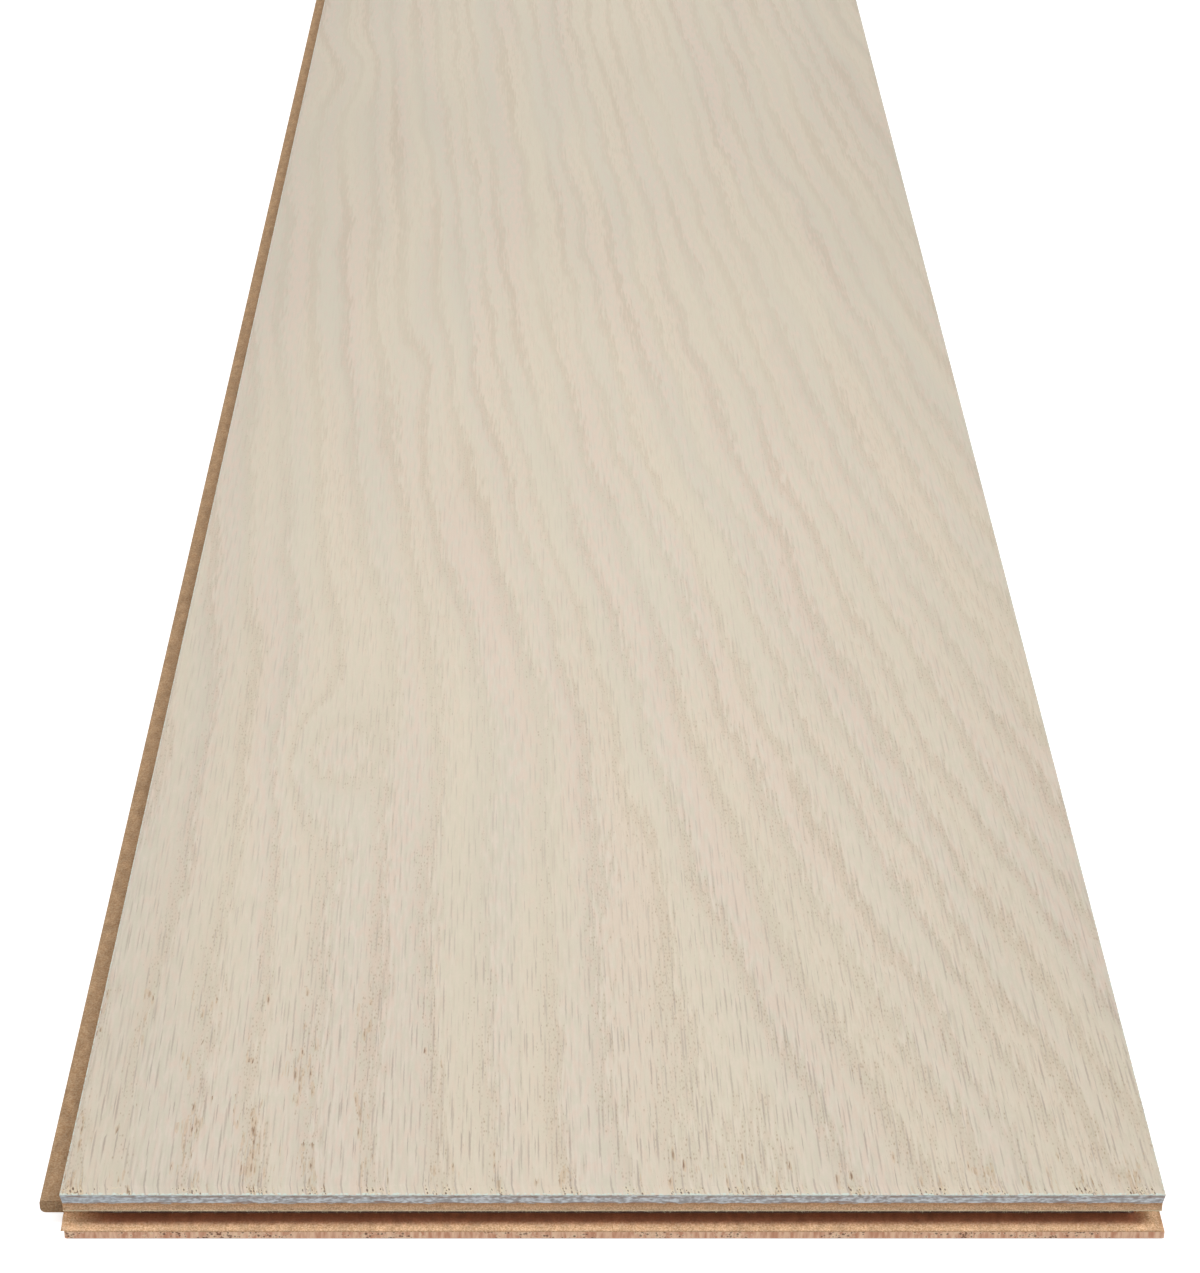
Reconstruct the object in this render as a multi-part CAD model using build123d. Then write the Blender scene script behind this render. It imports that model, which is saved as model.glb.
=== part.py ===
"""Engineered hardwood floorboard: oak face, fibreboard core, backing veneer.

The board lies flat. +X runs across it, +Y along it and +Z up. The origin is on the underside, below the
centre of the face that shows once the floor is laid. The tongues are on the -X side and the +Y end, and the
grooves are on the +X side and the -Y end. All sizes are in millimetres.
"""
from build123d import *
import os

# The face that shows in the floor
FACE_WIDTH = 190.0
FACE_LENGTH = 1900.0

# The three sheets, glued face to face
WEAR_LAYER_THICKNESS = 2.4
CORE_THICKNESS = 5.5
BACKING_THICKNESS = 1.6

# The bevel round the face: wide across the ends, narrow along the sides
SIDE_BEVEL_WIDTH = 0.8
SIDE_BEVEL_DEPTH = 0.5
END_BEVEL_WIDTH = 2.2
END_BEVEL_DEPTH = 0.45

# The tongue
SIDE_TONGUE_PROJECTION = 4.2
END_TONGUE_PROJECTION = 3.2
TONGUE_THICKNESS = 2.5
TONGUE_NOSE_TOP_RADIUS = 0.4
TONGUE_NOSE_BOTTOM_RADIUS = 1.0
UNDER_TONGUE_REACH = 0.2

# The groove, which takes a neighbour's tongue
UPPER_LIP_THICKNESS = 4.2
UPPER_LIP_CHAMFER = 0.08
EDGE_UNDERCUT = 0.35
ARRIS_CHAMFER = 0.3

# The lip under the groove: it stands out further at the ends and drops further along the sides
SIDE_LIP_REACH = 0.3
SIDE_LIP_DROP = 0.8
END_LIP_REACH = 0.6
END_LIP_DROP = 0.6
LIP_RAMP_LENGTH = 2.2

# The room left between two boards that are pushed together
TONGUE_SIDE_CLEARANCE = 0.15
TONGUE_NOSE_CLEARANCE = 0.3
LIP_CLEARANCE = 0.12

# What the blank is larger by, all round, before its edges are milled
MILLING_ALLOWANCE = 10.0

# Levels, all set out from the face, as the milling cutters are
glue_line = BACKING_THICKNESS + CORE_THICKNESS
face_level = glue_line + WEAR_LAYER_THICKNESS
groove_ceiling = face_level - UPPER_LIP_THICKNESS
tongue_top = groove_ceiling - TONGUE_SIDE_CLEARANCE
tongue_bottom = tongue_top - TONGUE_THICKNESS
groove_floor = tongue_bottom - TONGUE_SIDE_CLEARANCE


def tongue_edge(projection, bevel, lip):
    """The milled tongue edge, from the face down, as (reach past the face, level).

    Under the tongue a shoulder stands out, and below it a rebate makes room for the neighbour's lip.
    """
    bevel_width, bevel_depth = bevel
    lip_reach, lip_drop = lip
    rebate = lip_reach + LIP_CLEARANCE
    rebate_level = groove_floor - lip_drop + LIP_CLEARANCE
    return [
        (-bevel_width, face_level),
        (0, face_level - bevel_depth),
        (-EDGE_UNDERCUT, glue_line),
        (-EDGE_UNDERCUT, tongue_top),
        (projection, tongue_top),
        (projection, tongue_bottom),
        (UNDER_TONGUE_REACH, tongue_bottom),
        (UNDER_TONGUE_REACH, rebate_level),
        (-rebate, rebate_level),
        (-rebate, ARRIS_CHAMFER),
        (-rebate - ARRIS_CHAMFER, 0),
    ]


def groove_edge(projection, bevel, lip):
    """The milled groove edge that takes such a tongue, listed in the same way.

    The lip under the groove ramps down, and it is at its lowest where the neighbour's shoulder comes over it.
    """
    bevel_width, bevel_depth = bevel
    lip_reach, lip_drop = lip
    groove_depth = projection + TONGUE_NOSE_CLEARANCE
    return [
        (-bevel_width, face_level),
        (0, face_level - bevel_depth),
        (-EDGE_UNDERCUT, glue_line),
        (-EDGE_UNDERCUT, groove_ceiling + UPPER_LIP_CHAMFER),
        (-EDGE_UNDERCUT - UPPER_LIP_CHAMFER, groove_ceiling),
        (-groove_depth, groove_ceiling),
        (-groove_depth, groove_floor),
        (-LIP_RAMP_LENGTH, groove_floor),
        (-UNDER_TONGUE_REACH, groove_floor - lip_drop),
        (lip_reach, groove_floor - lip_drop),
        (lip_reach, ARRIS_CHAMFER),
        (lip_reach - ARRIS_CHAMFER, 0),
    ]


def milled_section(face_span, projection, bevel, lip):
    """The board's section between two milled edges, with its tongue at the left and its groove at the right."""
    half_face = face_span / 2
    tongue = tongue_edge(projection, bevel, lip)
    groove = groove_edge(projection, bevel, lip)
    right_side = [(half_face + reach, level) for reach, level in groove]
    left_side = [(-half_face - reach, level) for reach, level in tongue]
    return make_face(Polyline(right_side + left_side[::-1], close=True))


def sheet(bottom, thickness):
    """One sheet of the glued blank, before its edges are milled."""
    blank_width = FACE_WIDTH + 2 * (SIDE_TONGUE_PROJECTION + MILLING_ALLOWANCE)
    blank_length = FACE_LENGTH + 2 * (END_TONGUE_PROJECTION + MILLING_ALLOWANCE)
    plain = Box(blank_width, blank_length, thickness, align=(Align.CENTER, Align.CENTER, Align.MIN))
    return Pos(0, 0, bottom) * plain


# The side cutters run along the board, and the end cutters across it, straight through the side tongue
side_bevel = (SIDE_BEVEL_WIDTH, SIDE_BEVEL_DEPTH)
end_bevel = (END_BEVEL_WIDTH, END_BEVEL_DEPTH)
side_lip = (SIDE_LIP_REACH, SIDE_LIP_DROP)
end_lip = (END_LIP_REACH, END_LIP_DROP)
side_section = milled_section(FACE_WIDTH, SIDE_TONGUE_PROJECTION, side_bevel, side_lip)
end_section = milled_section(FACE_LENGTH, END_TONGUE_PROJECTION, end_bevel, end_lip)
groove_end_first = Plane(origin=(0, 0, 0), x_dir=(0, -1, 0), z_dir=(-1, 0, 0))
side_run = FACE_LENGTH / 2 + END_TONGUE_PROJECTION + MILLING_ALLOWANCE
end_run = FACE_WIDTH / 2 + SIDE_TONGUE_PROJECTION + MILLING_ALLOWANCE
side_milling = extrude(Plane.XZ * side_section, amount=side_run, both=True)
end_milling = extrude(groove_end_first * end_section, amount=end_run, both=True)
milled_board = side_milling & end_milling

# Each layer is its sheet of the blank, within the milled edges
backing_veneer = milled_board & sheet(0, BACKING_THICKNESS)
hdf_core = milled_board & sheet(BACKING_THICKNESS, CORE_THICKNESS)
oak_wear_layer = milled_board & sheet(glue_line, WEAR_LAYER_THICKNESS)


def nose_edges(core, above):
    """The long edges of the two tongues' noses: the upper pair, or the lower pair."""
    noses = [core.faces().sort_by(Axis.X)[0], core.faces().sort_by(Axis.Y)[-1]]
    return [nose.edges().sort_by(Axis.Z)[-1 if above else 0] for nose in noses]


# The tongues' noses are rounded, more below than above, so that they ride into the neighbour's groove
hdf_core = fillet(nose_edges(hdf_core, above=True), TONGUE_NOSE_TOP_RADIUS)
hdf_core = fillet(nose_edges(hdf_core, above=False), TONGUE_NOSE_BOTTOM_RADIUS)

pieces = {
    "backing_veneer": backing_veneer,
    "hdf_core": hdf_core,
    "oak_wear_layer": oak_wear_layer,
}

os.makedirs("parts", exist_ok=True)
for name, piece in pieces.items():
    export_step(piece, f"parts/{name}.step")
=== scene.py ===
"""An engineered oak floorboard, lying face up on a pale floor and seen from its groove end.

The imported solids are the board's true shape. This script gives each of its three layers its own wood or
fibreboard, adds the fibres that the milling cutters fray, and sets the floor, the light and the camera.
Places are in metres, and the patterns in the wood are in millimetres.
"""
import math
from collections import namedtuple
from types import SimpleNamespace

import bpy
import numpy as np
from mathutils import Matrix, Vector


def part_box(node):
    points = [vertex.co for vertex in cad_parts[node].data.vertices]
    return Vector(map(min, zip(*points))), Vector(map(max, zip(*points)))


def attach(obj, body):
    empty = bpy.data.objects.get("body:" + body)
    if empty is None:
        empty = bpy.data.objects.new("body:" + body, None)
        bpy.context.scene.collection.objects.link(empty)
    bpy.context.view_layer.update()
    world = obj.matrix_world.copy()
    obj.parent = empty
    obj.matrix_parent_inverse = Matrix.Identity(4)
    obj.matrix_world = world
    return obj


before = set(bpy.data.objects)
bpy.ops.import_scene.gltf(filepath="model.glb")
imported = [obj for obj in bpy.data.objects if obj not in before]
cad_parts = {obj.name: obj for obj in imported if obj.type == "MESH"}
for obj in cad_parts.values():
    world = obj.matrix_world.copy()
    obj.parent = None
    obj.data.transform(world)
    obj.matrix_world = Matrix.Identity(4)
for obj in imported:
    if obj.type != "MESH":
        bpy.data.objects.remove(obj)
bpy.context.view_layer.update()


# The backing veneer
# A sheet of peeled pinkish hardwood, glued under the core to keep the board from cupping.
# Its grain runs along the board, so a cut end shows the tubes of the wood as clusters of dots.

MM_PER_METRE = 1000.0


def srgb(red, green, blue):
    """A colour read off a screen, 0 to 255, as the linear light that shaders take."""
    levels = np.array([red, green, blue]) / 255
    linear = np.where(levels <= 0.04045, levels / 12.92, ((levels + 0.055) / 1.055) ** 2.4)
    return (*linear.tolist(), 1.0)


class Field:
    """A number that changes over a surface: a node's output, to which arithmetic adds Math nodes."""

    def __init__(self, tree, socket):
        self.tree = tree
        self.socket = socket

    def math(self, operation, *others):
        """One Math node, with this field as its first input."""
        step = self.tree.nodes.new("ShaderNodeMath")
        step.operation = operation
        for place, value in enumerate((self, *others)):
            feed(self.tree, step.inputs[place], value)
        return Field(self.tree, step.outputs[0])

    def __add__(self, other):
        return self.math("ADD", other)

    def __sub__(self, other):
        return self.math("SUBTRACT", other)

    def __mul__(self, other):
        return self.math("MULTIPLY", other)

    def __truediv__(self, other):
        return self.math("DIVIDE", other)

    def rise(self, start, end):
        """0 at start, 1 at end, and a smooth rise between; start may be the larger."""
        step = self.tree.nodes.new("ShaderNodeMapRange")
        step.interpolation_type = "SMOOTHSTEP"
        feed(self.tree, step.inputs["Value"], self)
        feed(self.tree, step.inputs["From Min"], start)
        feed(self.tree, step.inputs["From Max"], end)
        return Field(self.tree, step.outputs["Result"])


def feed(tree, socket, value):
    """Links a field or an output to a node's input, or sets the input to a plain value."""
    if isinstance(value, Field):
        value = value.socket
    if isinstance(value, bpy.types.NodeSocket):
        tree.links.new(value, socket)
    else:
        socket.default_value = value


def add_node(tree, kind, inputs, **settings):
    """Adds one node with its settings, and feeds the inputs that are named."""
    added = tree.nodes.new(kind)
    for name, value in settings.items():
        setattr(added, name, value)
    for name, value in inputs.items():
        feed(tree, added.inputs[name], value)
    return added


def combine(tree, across, along, up):
    """Three fields as one vector."""
    return add_node(tree, "ShaderNodeCombineXYZ", {"X": across, "Y": along, "Z": up}).outputs[0]


def position(tree):
    """The place on the board in millimetres: across it, along it and up."""
    place = add_node(tree, "ShaderNodeTexCoord", {}).outputs["Object"]
    scaled = add_node(tree, "ShaderNodeVectorMath", {0: place, "Scale": MM_PER_METRE}, operation="SCALE")
    axes = add_node(tree, "ShaderNodeSeparateXYZ", {0: scaled.outputs[0]}).outputs
    return [Field(tree, axis) for axis in axes]


def noise(tree, place, lengths, seed=0.0, detail=1.0):
    """Cloudy noise about 0, from -0.5 to 0.5, over two or three fields, in clouds of the given lengths."""
    scaled = [axis / length for axis, length in zip(place, lengths)]
    scaled[0] = scaled[0] + seed
    vector = combine(tree, *scaled, *[0.0] * (3 - len(scaled)))
    clouds = add_node(tree, "ShaderNodeTexNoise", {}, noise_dimensions=f"{len(scaled)}D")
    feed(tree, clouds.inputs["Vector"], vector)
    clouds.inputs["Scale"].default_value = 1.0
    clouds.inputs["Detail"].default_value = detail
    return Field(tree, clouds.outputs["Fac"]) - 0.5


def mix(tree, share, first, second):
    """The first colour where share is 0, the second where it is 1."""
    blender = add_node(tree, "ShaderNodeMix", {}, data_type="RGBA")
    feed(tree, blender.inputs[0], share)
    feed(tree, blender.inputs[6], first)
    feed(tree, blender.inputs[7], second)
    return blender.outputs[2]


def new_material(name):
    """A new material, its node tree and its shader."""
    material = bpy.data.materials.new(name)
    material.use_nodes = True
    tree = material.node_tree
    return material, tree, tree.nodes["Principled BSDF"]


def finish(tree, shader, colour, roughness, gloss, relief, depth):
    """Feeds a shader its colour, how rough and how glossy it is, and a relief that is depth metres deep."""
    bump = add_node(tree, "ShaderNodeBump", {"Height": relief, "Distance": depth})
    feed(tree, shader.inputs["Base Color"], colour)
    feed(tree, shader.inputs["Roughness"], roughness)
    feed(tree, shader.inputs["Specular IOR Level"], gloss)
    feed(tree, shader.inputs["Normal"], bump.outputs["Normal"])


Spindles = namedtuple("Spindles", "mask rim chance")


def spindle_group(dimensions):
    """Spindles in solid wood, one in each cell of a jittered lattice.

    A point's offset from the nearest spindle's middle, divided by the spindle's half sizes, gives its
    radius: the mask falls from 1 at the middle to 0 at radius 1, and the rim is a ring just outside that.
    By chance a spindle is up to a third larger than its half sizes, or as little as half of them.
    """
    tree = bpy.data.node_groups.new(f"wood_spindles_{dimensions}d", "ShaderNodeTree")
    for name in ("place", "pitch", "half_size"):
        tree.interface.new_socket(name, in_out="INPUT", socket_type="NodeSocketVector")
    tree.interface.new_socket("share", in_out="INPUT", socket_type="NodeSocketFloat")
    for name in Spindles._fields:
        tree.interface.new_socket(name, in_out="OUTPUT", socket_type="NodeSocketFloat")
    given = tree.nodes.new("NodeGroupInput").outputs
    wanted = tree.nodes.new("NodeGroupOutput").inputs

    def vector(operation, first, second):
        return add_node(tree, "ShaderNodeVectorMath", {0: first, 1: second}, operation=operation).outputs[0]

    cell = vector("DIVIDE", given["place"], given["pitch"])
    lattice = add_node(tree, "ShaderNodeTexVoronoi", {"Vector": cell, "Scale": 1.0, "Randomness": 1.0},
                       voronoi_dimensions=f"{dimensions}D")
    offset = vector("SUBTRACT", cell, lattice.outputs["Position"])
    radii = vector("DIVIDE", vector("MULTIPLY", offset, given["pitch"]), given["half_size"])
    length = add_node(tree, "ShaderNodeVectorMath", {0: radii}, operation="LENGTH")
    chances = add_node(tree, "ShaderNodeSeparateColor", {0: lattice.outputs["Color"]}).outputs
    size = Field(tree, chances[2]) * 0.8 + 0.53
    radius = Field(tree, length.outputs["Value"]) / size
    present = Field(tree, chances[0]).math("LESS_THAN", given["share"])
    feed(tree, wanted["mask"], radius.rise(1.0, 0.2) * present)
    feed(tree, wanted["rim"], radius.rise(0.6, 1.0) * radius.rise(2.0, 1.2) * present)
    feed(tree, wanted["chance"], chances[1])
    return tree


spindle_groups = {dimensions: spindle_group(dimensions) for dimensions in (2, 3)}


def spindles(tree, place, pitch, half_size, share):
    """Places the spindle group over two or three fields; share is how many of its cells hold a spindle."""
    flat = len(place) == 2
    placed = add_node(tree, "ShaderNodeGroup", {}, node_tree=spindle_groups[len(place)])
    feed(tree, placed.inputs["place"], combine(tree, *place, *[0.0] * flat))
    feed(tree, placed.inputs["pitch"], (*pitch, *[1.0] * flat))
    feed(tree, placed.inputs["half_size"], (*half_size, *[1.0] * flat))
    feed(tree, placed.inputs["share"], share)
    return Spindles(*[Field(tree, placed.outputs[name]) for name in Spindles._fields])


VENEER_DARK = srgb(214, 156, 126)
VENEER_PALE = srgb(255, 216, 184)
TUBE_RIM = srgb(255, 228, 196)
TUBE_HOLLOW = srgb(44, 24, 14)
TUBE_PITCH = (0.52, 8.0, 0.42)
TUBE_HALF_SIZE = (0.32, 4.0, 0.29)


def backing_wood():
    """Pinkish veneer: streaks along the grain, and tubes with pale rims in clusters."""
    material, tree, shader = new_material("backing_wood")
    place = position(tree)
    streaks = noise(tree, place, (0.8, 60.0, 4.0), seed=3.0, detail=2.0)
    clusters = noise(tree, place, (8.0, 60.0, 3.0), seed=21.0)
    tubes = spindles(tree, place, TUBE_PITCH, TUBE_HALF_SIZE, clusters * 4.5 + 0.15)
    colour = mix(tree, streaks.rise(-0.2, 0.2), VENEER_DARK, VENEER_PALE)
    colour = mix(tree, tubes.rim * 0.55, colour, TUBE_RIM)
    colour = mix(tree, tubes.mask * (tubes.chance * 0.3 + 0.7), colour, TUBE_HOLLOW)
    finish(tree, shader, colour, roughness=0.8, gloss=0.25, relief=streaks, depth=0.0001)
    return material


def dress(node, material):
    """Gives a layer its finished material in place of the plain one that it came with."""
    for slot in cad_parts[node].material_slots:
        slot.material = material


dress("backing_veneer", backing_wood())


# The fibreboard core
# Wood fibre pressed with resin into one dense sheet, its edges milled with the tongues and the grooves.
# The tongues are waxed and darkened with painted shade, the grooves are darkened and reddened with painted
# shade, and the lips stay furry.

GROOVE_CEILING = 5.3
GROOVE_FLOOR = 2.5
LIP_CHAMFER = 0.08

CORE_DARK = srgb(196, 152, 112)
CORE_PALE = srgb(242, 207, 170)
SPECK_PALE = srgb(252, 230, 198)
SPECK_DARK = srgb(140, 92, 56)
PRESSED_SKIN = srgb(176, 114, 66)
TONGUE_WAX = srgb(214, 173, 121)
# The next two colours are painted shade, in the grooves and darker still on their back walls.
GROOVE_SHADE = srgb(190, 120, 94)
GROOVE_BACK_SHADE = srgb(124, 112, 112)
FURRY_LIP = srgb(230, 224, 190)
SPRAYED_EDGE = srgb(196, 196, 192)


def in_millimetres(box):
    """The two corners of a box, turned from metres into millimetres."""
    return [corner * MM_PER_METRE for corner in box]


def brighten(tree, colour, factor):
    """A colour times a field."""
    grey = add_node(tree, "ShaderNodeCombineColor", {0: factor, 1: factor, 2: factor}).outputs[0]
    blender = add_node(tree, "ShaderNodeMix", {}, data_type="RGBA", blend_type="MULTIPLY")
    feed(tree, blender.inputs[0], 1.0)
    feed(tree, blender.inputs[6], colour)
    feed(tree, blender.inputs[7], grey)
    return blender.outputs[2]


def facing_up(tree):
    """How far a face looks up: 1 on the walking face, 0 on an upright edge, -1 underneath."""
    normal = tree.nodes.new("ShaderNodeNewGeometry").outputs["True Normal"]
    return Field(tree, add_node(tree, "ShaderNodeSeparateXYZ", {0: normal}).outputs[2])


def pressed_fibre(tree, place, fibre, low, high):
    """Brown fibre with pale and dark specks, and with a darker skin by each glue line."""
    z = place[2]
    speck = noise(tree, place, (0.18, 0.18, 0.13), seed=5.0)
    skin = z.rise(high.z - 1.2, high.z) + z.rise(low.z + 0.3, low.z) * 0.5
    colour = mix(tree, fibre.rise(-0.24, 0.24), CORE_DARK, CORE_PALE)
    colour = mix(tree, speck.rise(0.1, 0.3) * 0.65, colour, SPECK_PALE)
    colour = mix(tree, speck.rise(-0.1, -0.3) * 0.65, colour, SPECK_DARK)
    return mix(tree, skin * 0.5, colour, PRESSED_SKIN)


def fibreboard():
    """Pressed fibre: waxed and darkened with painted shade on the tongues, painted shade in the grooves,
    furry and sprayed on the upper lips.
    """
    material, tree, shader = new_material("fibreboard")
    x, y, z = place = position(tree)
    face_low, face_high = in_millimetres(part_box("oak_wear_layer"))
    low, high = in_millimetres(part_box("hdf_core"))
    up = facing_up(tree)
    upright = up.rise(0.5, 0.2)
    fibre = noise(tree, place, (0.34, 0.34, 0.28), seed=1.0, detail=2.0)
    colour = pressed_fibre(tree, place, fibre, low, high)

    # On the tongues a wax tint, and painted shade that is deepest by the face's edge, where the board's edge
    # shades them.
    reach = ((x - face_low.x) * -1.0).math("MAXIMUM", y - face_high.y)
    waxed_and_shaded = brighten(tree, mix(tree, 0.35, colour, TONGUE_WAX), reach.rise(0.0, 3.0) * 0.16 + 0.38)
    colour = mix(tree, reach.rise(0.0, 0.4) * 0.85, colour, waxed_and_shaded)

    # Painted shade: the grooves' insides are darker and redder, as in deep shade, and their back walls
    # darker still.
    inside = z.rise(GROOVE_FLOOR - 0.55, GROOVE_FLOOR - 0.1)
    inside = inside * z.rise(GROOVE_CEILING + 0.02, GROOVE_CEILING - 0.1)
    inside = inside * x.rise(face_low.x + 1.5, face_low.x + 9.0)
    inside = inside * x.rise(face_high.x - 1.5, face_high.x - 5.0)
    colour = mix(tree, inside * 0.8, colour, GROOVE_SHADE)
    back = inside * up.rise(0.6, 0.3) * up.rise(-0.6, -0.3)
    colour = mix(tree, back * 0.8, colour, GROOVE_BACK_SHADE)

    lip = z.rise(GROOVE_CEILING + 0.35, GROOVE_CEILING + 0.1)
    lip = lip * z.rise(GROOVE_CEILING - 0.05, GROOVE_CEILING)
    colour = mix(tree, lip * upright * 0.7, colour, FURRY_LIP)
    cloud = noise(tree, place, (1.6, 4.0, 0.5), seed=8.0, detail=3.0)
    colour = brighten(tree, colour, cloud * 0.75 + 1.0)
    drip = noise(tree, (x + y, z), (2.5, 3.0), seed=43.0, detail=2.0)
    sprayed = (z - high.z + drip).rise(-0.04, 0.08) * upright
    colour = mix(tree, sprayed * 0.85, colour, SPRAYED_EDGE)
    finish(tree, shader, colour, roughness=0.9, gloss=0.2, relief=fibre, depth=0.00015)
    return material


dress("hdf_core", fibreboard())


# The oak wear layer
# Sawn oak, flat on its growth rings, white-washed and lacquered matt, with its arrises bevelled.
# Rings, rays and pores run through the solid wood, and the edges below the bevels keep grey overspray.

# The rings are marked where they cross the board at RING_START, which is RING_RUN short of the groove end
RING_START = -262.0
RING_RUN = 688.0
RING_MARKS = (-103, -95, -87, -79, -72, -62, -55, -49, -43, -34, -26.5, -21, -14, -8.5, -1.5, 6.5, 13.5, 23,
              28.5, 36, 43, 48.5, 58.5, 66, 71, 77, 88, 96, 103, 111, 118)
RING_LEAN = (0.551, 0.076, 0.5185)
RING_SHIFT = 86.8
RING_SPREAD = 0.30
# Each swirl has its place across and along, its half width and half length, and how far it pushes the rings
RING_SWIRLS = ((-83, -342, 13, 34, -7), (-47, -594, 7, 30, -6), (-60, -798, 11, 24, 13))
RAY_SLANT = 0.9
FIBRE_LEAN = 0.018

OAK_DARK = srgb(216, 204, 186)
OAK_PALE = srgb(226, 214, 198)
OAK_ROSY = srgb(226, 205, 188)
OAK_GREENISH = srgb(214, 208, 188)
OAK_WARM = srgb(222, 210, 187)
EARLY_WOOD = srgb(190, 174, 149)
RAY = srgb(166, 150, 139)
RAY_PITCH = (1.0, 11.0)
RAY_HALF_SIZE = (0.23, 7.0)
PORE = srgb(160, 134, 102)
PORE_PITCH = (0.5, 1.3)
PORE_HALF_SIZE = (0.18, 0.5)
PIT_SHALLOW = srgb(180, 140, 92)
PIT_DEEP = srgb(120, 80, 46)
PIT_RIM = srgb(208, 170, 124)
PIT_PITCH = (0.8, 3.4)
PIT_HALF_SIZE = (0.24, 1.7)
DOT = srgb(84, 56, 36)
# The next colour is a painted highlight on the rims of the dots.
DOT_RIM_HIGHLIGHT = srgb(236, 218, 184)
DOT_PITCH = (0.75, 0.85)
DOT_HALF_SIZE = (0.21, 0.37)
SPRAY_THIN = srgb(170, 160, 156)
SPRAY_THICK = srgb(240, 243, 245)
# The next colour is a painted highlight on crumbs of spray along the bevel's lower arris.
SPRAY_BLUE = srgb(190, 208, 220)
CRUMB_AND_ARRIS_HIGHLIGHT = srgb(210, 224, 215)
# The next colour is bare wood at the edges' foot and a painted shadow streak under the bevel.
BARE_WOOD_AND_SHADOW = srgb(160, 130, 116)


def ring_place(tree, x, y):
    """Which growth ring a place is in, as the millimetre at which that ring crosses the board at RING_START.

    Towards the groove end the rings lean to the right and bend further over, by a cubic in the distance run.
    On the left they straighten again. Noise lets them wander, and each swirl pushes them aside by a bell
    curve.
    """
    run = (y - RING_START) / -RING_RUN
    seen = run.math("MAXIMUM", 0.0)
    unseen = run.math("MINIMUM", 0.0)
    first, second, third = RING_LEAN
    lean = seen * first + seen * seen * second + seen * seen * seen * third
    lean = lean + unseen * first / (unseen * -2.0 + 1.0)
    ring = (x - lean * RING_SHIFT) / (lean * RING_SPREAD + 1.0)
    ring = ring + ring.rise(-46.0, -68.0) * run.rise(0.70, 1.05) * 18.0
    ring = ring + noise(tree, (x, y), (45.0, 170.0), seed=4.0) * 6.0
    ring = ring + noise(tree, (x, y), (11.0, 45.0), seed=12.0) * 4.5
    for swirl_x, swirl_y, wide, long, push in RING_SWIRLS:
        across = (x - swirl_x) / wide
        along = (y - swirl_y) / long
        bell = (across * across + along * along) * -1.0
        ring = ring + bell.math("EXPONENT") * push
    return ring


def ring_count(tree, ring):
    """How many rings lie between the first mark and here, by straight lines between the marks."""
    first = RING_MARKS[0]
    span = RING_MARKS[-1] - first
    last = len(RING_MARKS) - 1
    counter = tree.nodes.new("ShaderNodeFloatCurve")
    counter.mapping.extend = "EXTRAPOLATED"
    line = counter.mapping.curves[0]
    for count, mark in enumerate(RING_MARKS[1:-1], start=1):
        line.points.new((mark - first) / span, count / last)
    for point in line.points:
        point.handle_type = "VECTOR"
    counter.mapping.update()
    feed(tree, counter.inputs["Value"], (ring - first) / span)
    return Field(tree, counter.outputs["Value"]) * last


def oak_grain(tree):
    """The fields that the oak's patterns share: places in the wood, its streaks and its growth rings.

    The early wood of a ring is its open, darker start. The fields open and near say how open the grain is
    towards the ends and by the groove end, and torn is the place across the fibres, made ragged.
    """
    x, y, z = position(tree)
    low, high = in_millimetres(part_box("oak_wear_layer"))
    grain = SimpleNamespace(y=y, low=low, high=high, up=facing_up(tree))
    grain.depth = z * -1.0 + high.z
    grain.edge_place = (x, y, grain.depth)
    grain.x = x - grain.depth * RAY_SLANT
    grain.fibre = grain.x + y * FIBRE_LEAN
    grain.near = y.rise(low.y + 120.0, low.y + 15.0)
    grain.open = y.math("ABSOLUTE").rise(400.0, high.y) * 0.94 + 0.06
    grain.streaks = noise(tree, (grain.fibre, y), (0.6, 9.0), seed=2.0, detail=3.0)
    grain.mottle = noise(tree, (grain.x, y), (0.5, 1.0), seed=9.0)
    grain.torn = grain.fibre + grain.streaks * 0.2 + grain.mottle * 0.15

    ring = ring_place(tree, grain.x, y)
    grain.tint_band = noise(tree, (ring, y), (7.0, 150.0), seed=33.0)
    grain.warm_band = noise(tree, (ring, y), (9.0, 200.0), seed=41.0)
    phase = ring_count(tree, ring + grain.streaks * 6.0).math("FRACT")
    early = phase.rise(0.62, 1.0).math("MAXIMUM", phase.rise(0.26, 0.0))
    late = phase.rise(0.36, 0.46) * phase.rise(0.56, 0.46) * grain.warm_band.rise(-0.1, 0.15) * 0.6
    near_right = grain.x.rise(-30.0, 60.0) * y.rise(-650.0, -900.0)
    strength = grain.tint_band * 1.4 + near_right * 0.4 + 0.62
    grain.early = (early + late) * strength.math("MAXIMUM", 0.2)
    return grain


def washed_face(tree, grain):
    """The white-washed wood: tinted streaks, with the early wood of the rings darker."""
    tint = noise(tree, (grain.fibre, grain.y), (1.2, 5.0), seed=14.0) * 1.2
    tint = tint + grain.tint_band * (grain.near * -0.4 + 0.9)
    colour = mix(tree, grain.streaks.rise(-0.25, 0.25) * grain.open, OAK_DARK, OAK_PALE)
    colour = mix(tree, tint.rise(0.0, 0.28) * 0.6, colour, OAK_ROSY)
    colour = mix(tree, tint.rise(0.0, -0.28) * 0.6, colour, OAK_GREENISH)
    colour = mix(tree, grain.warm_band.rise(-0.2, 0.2) * 0.5, colour, OAK_WARM)
    return mix(tree, grain.early * (grain.open * -0.18 + 0.46), colour, EARLY_WOOD)


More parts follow.
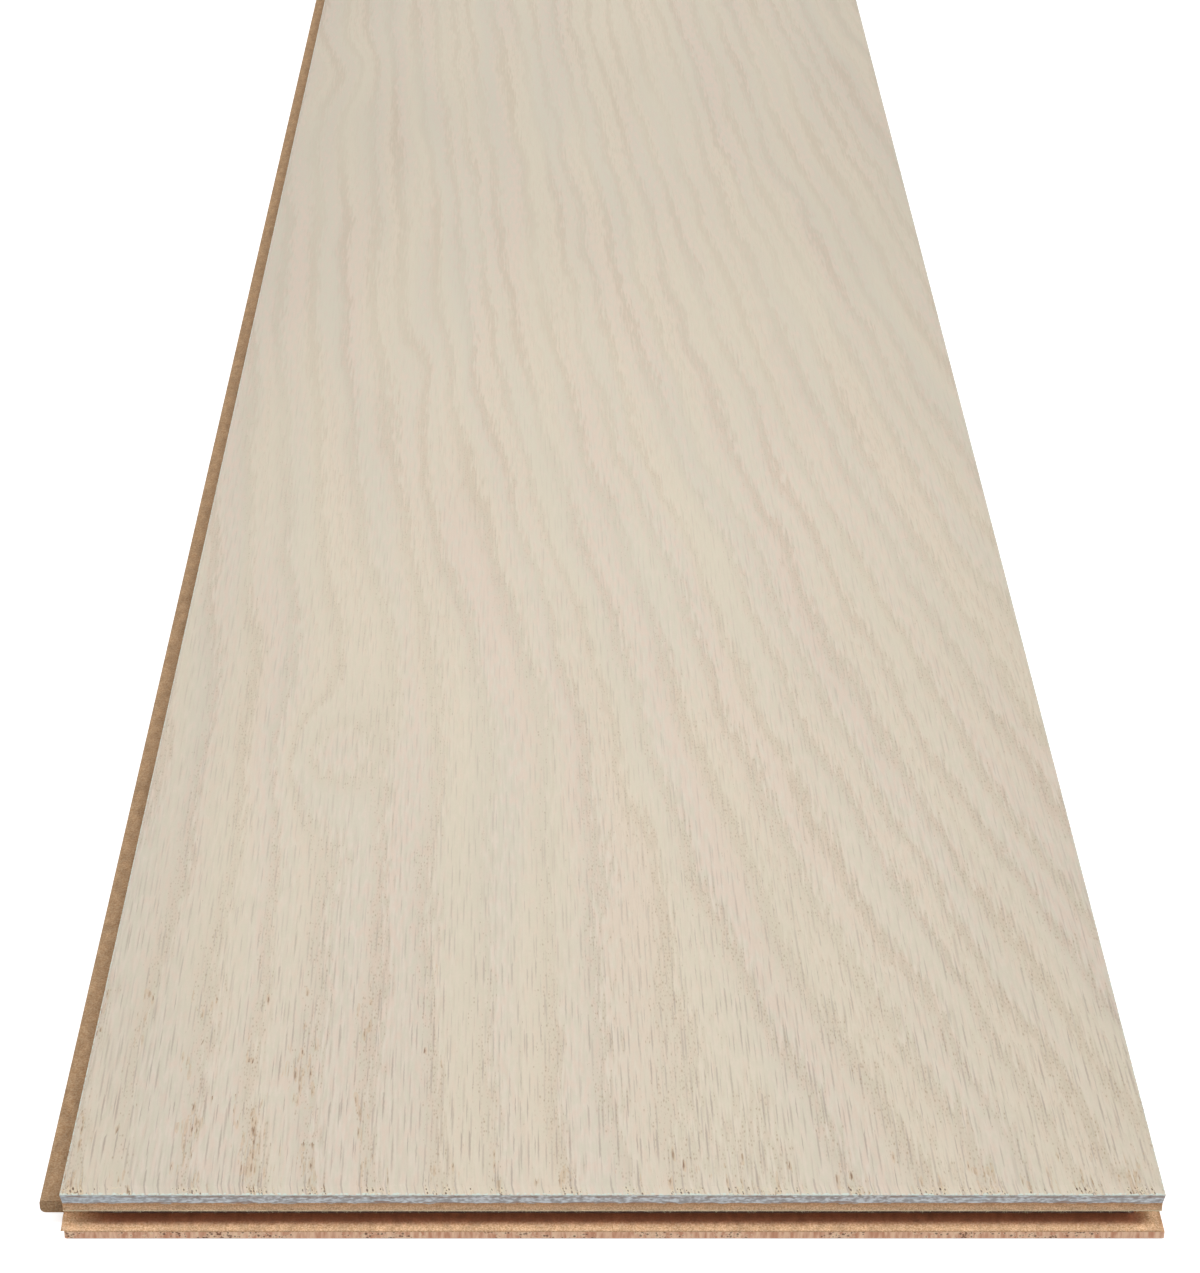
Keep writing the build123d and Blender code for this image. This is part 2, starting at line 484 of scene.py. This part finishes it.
def rays_and_pores(tree, grain, colour):
    """Adds grey rays, brown pores in the early wood, and pits where the near end's wash is worn."""
    place = (grain.torn, grain.y)
    rays = spindles(tree, place, RAY_PITCH, RAY_HALF_SIZE, 0.94)
    ray_share = rays.mask * (rays.chance * 0.31 + 0.06) * (grain.near * 0.75 + grain.open)
    colour = mix(tree, ray_share, colour, RAY)
    pores = spindles(tree, place, PORE_PITCH, PORE_HALF_SIZE, grain.early * 1.8 - 0.35)
    colour = mix(tree, pores.mask * (pores.chance * 0.5 + 0.08) * grain.open, colour, PORE)

    patches = noise(tree, (grain.x, grain.y), (9.0, 22.0), seed=17.0)
    worn_left = grain.y.rise(grain.low.y + 75.0, grain.low.y + 15.0) * grain.x.rise(-20.0, -60.0)
    worn_end = grain.y.rise(grain.low.y + 14.0, grain.low.y + 3.0)
    worn = grain.early * (worn_left * patches.rise(-0.1, 0.12) + worn_end * 0.35)
    pits = spindles(tree, place, PIT_PITCH, PIT_HALF_SIZE, worn)
    pit_colour = mix(tree, pits.chance, PIT_SHALLOW, PIT_DEEP)
    colour = mix(tree, pits.rim * 0.3, colour, PIT_RIM)
    return mix(tree, pits.mask * (pits.chance * 0.5 + 0.3), colour, pit_colour)


def shade_face(tree, grain, colour):
    """Varies the brightness in broad clouds, in bands and finely, dims the far part with painted shade, and
    dims the sides.
    """
    broad = noise(tree, (grain.x, grain.y), (26.0, 90.0), seed=6.0)
    patchy = broad * 0.05 + grain.warm_band * 0.05 + grain.mottle * grain.open * 0.05
    colour = brighten(tree, colour, patchy + 1.0 - grain.x * grain.x * 0.9e-5)
    # Painted shade: the far part, seen at a grazing angle, is darker.
    far_painted_shade = grain.y.rise(-720.0, -330.0) * -0.096
    near_tone = grain.y.rise(-800.0, -930.0) * -0.016
    return brighten(tree, colour, far_painted_shade + near_tone + 0.97)


def bevel_dots(tree, grain, colour):
    """Adds the open ends of pores, cut across by the bevels at the board's two ends, with painted highlights
    on their pale rims.
    """
    end_bevel = grain.y.math("ABSOLUTE").rise(grain.high.y - 2.3, grain.high.y - 2.0)
    share = grain.early * 1.7 - grain.x.rise(-20.0, 60.0) * 0.4 - 0.12
    share = share * end_bevel * grain.depth.rise(0.05, 0.15)
    dots = spindles(tree, (grain.fibre, grain.y), DOT_PITCH, DOT_HALF_SIZE, share)
    # Painted highlight: the pale rims round the dots.
    colour = mix(tree, dots.rim * 0.35, colour, DOT_RIM_HIGHLIGHT)
    return mix(tree, dots.mask * (dots.chance * 0.5 + 0.5), colour, DOT)


def overspray(tree, grain, colour):
    """Covers the upright edges with blotchy grey spray, with a painted shadow streak under the bevel, bare
    wood in places at the foot, and pale crumbs with a painted highlight along its top.
    """
    depth = grain.depth
    crumbs = noise(tree, grain.edge_place, (0.6, 0.6, 0.3), seed=31.0, detail=2.0)
    blots = noise(tree, grain.edge_place, (1.0, 1.0, 0.5), seed=23.0, detail=2.0)
    paint = mix(tree, blots.rise(-0.17, 0.17), SPRAY_THIN, SPRAY_THICK)
    blue = noise(tree, grain.edge_place, (6.0, 6.0, 1.5), seed=37.0)
    blue = blue.rise(0.0, 0.25).math("MAXIMUM", grain.x.rise(-60.0, -92.0))
    blue = blue.math("MAXIMUM", depth.rise(1.0, 1.5) * 0.45)
    paint = mix(tree, blue * 0.45, paint, SPRAY_BLUE)

    glue_line = grain.high.z - grain.low.z
    gap = noise(tree, grain.edge_place, (3.0, 3.0, 0.7), seed=27.0, detail=2.0)
    bites = noise(tree, grain.edge_place, (4.0, 4.0, 3.0), seed=47.0)
    # Painted shadow: a broken darker streak just under the bevel's arris.
    shadow_streak = depth.rise(0.6, 0.74) * depth.rise(1.2, 0.95) * gap.rise(-0.14, 0.04)
    bare_foot = (depth + gap + bites * 1.6).rise(glue_line - 0.2, glue_line - 0.06)
    paint = mix(tree, shadow_streak.math("MAXIMUM", bare_foot) * 0.8, paint, BARE_WOOD_AND_SHADOW)
    paint = brighten(tree, paint, crumbs * 0.4 + 1.0)

    colour = mix(tree, grain.up.rise(0.6, 0.4), colour, paint)
    # Painted highlight: a pale broken line along the bevel's lower arris, among crumbs of spray.
    crumb_and_highlight_line = (depth + crumbs * 0.3).rise(0.36, 0.44) * (depth + crumbs * 1.2).rise(0.85, 0.65)
    return mix(tree, crumb_and_highlight_line * crumbs.rise(-0.15, 0.1) * 0.85, colour, CRUMB_AND_ARRIS_HIGHLIGHT)


def lacquered_oak():
    """White-washed oak: rings, rays and pores on the face, dots on the bevels and spray on the edges."""
    material, tree, shader = new_material("lacquered_oak")
    grain = oak_grain(tree)
    colour = washed_face(tree, grain)
    colour = rays_and_pores(tree, grain, colour)
    colour = shade_face(tree, grain, colour)
    colour = bevel_dots(tree, grain, colour)
    colour = overspray(tree, grain, colour)
    finish(tree, shader, colour, roughness=0.5, gloss=0.35, relief=grain.streaks, depth=0.00003)
    return material


dress("oak_wear_layer", lacquered_oak())


# The frayed fibres
# Hairs of fibreboard that the cutters leave standing on the lower arris of the two upper lips.
# Each is a thin tapered rod that leaves the chamfer, bends aside and droops.

FIBRE_COUNT = 2500
FIBRE_RINGS = 4
FIBRE_SIDES = 3
FIBRE_TAPER = 0.75
FIBRE_DROOP = 0.2
SHORTEST_FIBRE = 0.00007
FIBRE_LENGTH_SPREAD = 0.00042
FIBRE_RADII = (0.00002, 0.00004)
END_LIP_SHARE = 0.45
CORNER_GAP = 0.0008
LIP_UNDERCUT = 0.35
FIBRE_DARK = srgb(206, 188, 148)
FIBRE_PALE = srgb(240, 236, 208)


def fibre_rods(roots, headings, lengths, radii):
    """Tapered rods as one mesh.

    A rod's middle line is its root plus its heading times length times t, less droop times length times t
    squared, for t from 0 to 1; its radius shrinks evenly to a quarter.
    """
    t = np.linspace(0.0, 1.0, FIBRE_RINGS)[None, :, None]
    middle = roots[:, None, :] + headings[:, None, :] * lengths[:, None, None] * t
    middle = middle - np.array([0.0, 0.0, 1.0]) * (FIBRE_DROOP * lengths)[:, None, None] * t ** 2
    side = np.cross(headings, [0.0, 0.0, 1.0])
    side = side / np.linalg.norm(side, axis=1, keepdims=True)
    other = np.cross(headings, side)
    angle = np.arange(FIBRE_SIDES) * 2 * np.pi / FIBRE_SIDES
    across = np.cos(angle)[None, :, None] * side[:, None, :]
    ring = across + np.sin(angle)[None, :, None] * other[:, None, :]
    width = radii[:, None, None, None] * (1.0 - FIBRE_TAPER * t)[..., None]
    points = middle[:, :, None, :] + ring[:, None, :, :] * width
    rods = len(roots)
    index = np.arange(rods * FIBRE_RINGS * FIBRE_SIDES).reshape(rods, FIBRE_RINGS, FIBRE_SIDES)
    near = index[:, :-1]
    far = index[:, 1:]
    corners = [near, np.roll(near, -1, axis=2), np.roll(far, -1, axis=2), far]
    quads = np.stack(corners, axis=-1).reshape(-1, 4)
    tips = index[:, -1]
    feet = index[:, 0, ::-1]
    return points.reshape(-1, 3), quads.tolist() + tips.tolist() + feet.tolist()


def lip_fray(count, chance):
    """Roots along the two lips, and the way, length and thickness of each hair, all in metres."""
    face_low, face_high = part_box("oak_wear_layer")
    along_end = chance.random(count) < END_LIP_SHARE
    run = chance.random(count)
    inward = LIP_UNDERCUT + LIP_CHAMFER * chance.random(count)
    level = GROOVE_CEILING + LIP_CHAMFER + LIP_UNDERCUT - inward
    end_x = face_low.x + CORNER_GAP + run * (face_high.x - face_low.x - 2 * CORNER_GAP)
    side_y = face_low.y + CORNER_GAP + run * (face_high.y - face_low.y - 2 * CORNER_GAP)
    x = np.where(along_end, end_x, face_high.x - inward / MM_PER_METRE)
    y = np.where(along_end, face_low.y + inward / MM_PER_METRE, side_y)
    roots = np.stack([x, y, level / MM_PER_METRE], axis=1)
    sway = chance.normal(0.0, 0.9, count)
    out = chance.uniform(-0.1, 0.7, count)
    down = -np.ones(count)
    end_headings = np.stack([sway, -out, down], axis=1)
    side_headings = np.stack([out, sway, down], axis=1)
    headings = np.where(along_end[:, None], end_headings, side_headings)
    headings = headings / np.linalg.norm(headings, axis=1, keepdims=True)
    lengths = SHORTEST_FIBRE + FIBRE_LENGTH_SPREAD * chance.random(count) ** 5
    radii = chance.uniform(*FIBRE_RADII, count)
    return roots, headings, lengths, radii


def loose_fibre():
    """Pale cream fibre, a little uneven."""
    material, tree, shader = new_material("loose_fibre")
    shade = noise(tree, position(tree), (0.8, 0.8, 0.3), seed=2.0)
    feed(tree, shader.inputs["Base Color"], mix(tree, shade.rise(-0.2, 0.2), FIBRE_DARK, FIBRE_PALE))
    feed(tree, shader.inputs["Roughness"], 0.9)
    return material


fray_points, fray_faces = fibre_rods(*lip_fray(FIBRE_COUNT, np.random.default_rng(7)))
fray_mesh = bpy.data.meshes.new("frayed_fibres")
fray_mesh.from_pydata(fray_points.tolist(), [], fray_faces)
fray_mesh.materials.append(loose_fibre())
frayed_fibres = bpy.data.objects.new("frayed_fibres", fray_mesh)
bpy.context.scene.collection.objects.link(frayed_fibres)
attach(frayed_fibres, "root")


# The floor
# A plain pale studio floor, a hair below the board so that the two don't share a plane.
# The camera and reflections see it as white, apart from the board's shadow.

FLOOR_HALF = 6.0
FLOOR_DROP = 0.00005
FLOOR_GREY = 0.7
FLOOR_LIFT = 0.75


def seen_directly(tree):
    """1 for rays from the camera and for reflections, 0 for the light that falls on the board."""
    path = tree.nodes.new("ShaderNodeLightPath").outputs
    camera = Field(tree, path["Is Camera Ray"])
    return camera.math("MAXIMUM", path["Is Glossy Ray"]).math("MAXIMUM", path["Is Transmission Ray"])


floor_corners = np.array([[-1, -1], [1, -1], [1, 1], [-1, 1]]) * FLOOR_HALF
floor_points = [(across, along, -FLOOR_DROP) for across, along in floor_corners]
floor_mesh = bpy.data.meshes.new("floor")
floor_mesh.from_pydata(floor_points, [], [(0, 1, 2, 3)])
floor = bpy.data.objects.new("floor", floor_mesh)
bpy.context.scene.collection.objects.link(floor)
floor_material = bpy.data.materials.new("floor")
floor_material.use_nodes = True
floor_tree = floor_material.node_tree
floor_tree.nodes.clear()
matt = add_node(floor_tree, "ShaderNodeBsdfDiffuse", {"Color": (FLOOR_GREY, FLOOR_GREY, FLOOR_GREY, 1.0)})
lift = add_node(floor_tree, "ShaderNodeEmission", {"Strength": seen_directly(floor_tree) * FLOOR_LIFT})
both = add_node(floor_tree, "ShaderNodeAddShader", {0: matt.outputs[0], 1: lift.outputs[0]})
add_node(floor_tree, "ShaderNodeOutputMaterial", {"Surface": both.outputs[0]})
floor_mesh.materials.append(floor_material)


# The light
# A long soft lamp across the board, almost overhead and a little to the front, made of six round ones.
# The even glow of pale studio walls fills the rest.

LAMP_LEANS = (-62.0, -36.0, -12.0, 12.0, 36.0, 62.0)
LAMP_TILT = 10.5
LAMP_ANGLE = 24.0
LAMP_LEVEL = 0.8
WALL_LEVEL = 0.22

lamp_share = 1.0 / sum(math.cos(math.radians(lean)) for lean in LAMP_LEANS)
for number, lean in enumerate(LAMP_LEANS, start=1):
    lamp_data = bpy.data.lights.new(f"overhead_lamp_{number}", "SUN")
    lamp_data.energy = LAMP_LEVEL * math.pi * lamp_share
    lamp_data.angle = math.radians(LAMP_ANGLE)
    lamp = bpy.data.objects.new(f"overhead_lamp_{number}", lamp_data)
    lamp.rotation_mode = "ZYX"
    lamp.rotation_euler = (math.radians(LAMP_TILT), math.radians(lean), 0.0)
    bpy.context.scene.collection.objects.link(lamp)

world = bpy.data.worlds.new("studio")
bpy.context.scene.world = world
world.use_nodes = True
world_tree = world.node_tree
backdrop = world_tree.nodes["Background"]
backdrop.inputs["Color"].default_value = (1.0, 1.0, 1.0, 1.0)
glow = seen_directly(world_tree) * (1.0 - WALL_LEVEL) + WALL_LEVEL
feed(world_tree, backdrop.inputs["Strength"], glow)


# The camera
# It stands beyond the groove end, a little above the board, and looks down along it.
# The focal length is in pixels of the picture's own width.

IMAGE_WIDTH = 1200
FOCAL_PIXELS = 3300
SENSOR_WIDTH = 36.0
CAMERA_PLACE = (-0.0081, -1.4063, 0.3580)
CAMERA_PITCH = 27.797
CAMERA_YAW = 0.642
CAMERA_ROLL = 0.397

camera_data = bpy.data.cameras.new("camera")
camera_data.sensor_fit = "HORIZONTAL"
camera_data.sensor_width = SENSOR_WIDTH
camera_data.lens = FOCAL_PIXELS * SENSOR_WIDTH / IMAGE_WIDTH
camera = bpy.data.objects.new("camera", camera_data)
turn = Matrix.Rotation(math.radians(-CAMERA_YAW), 4, "Z")
tilt = Matrix.Rotation(math.radians(90.0 - CAMERA_PITCH), 4, "X")
roll = Matrix.Rotation(math.radians(CAMERA_ROLL), 4, "Z")
camera.matrix_world = Matrix.Translation(CAMERA_PLACE) @ turn @ tilt @ roll
bpy.context.scene.collection.objects.link(camera)
bpy.context.scene.camera = camera
bpy.context.scene.view_settings.view_transform = "Standard"
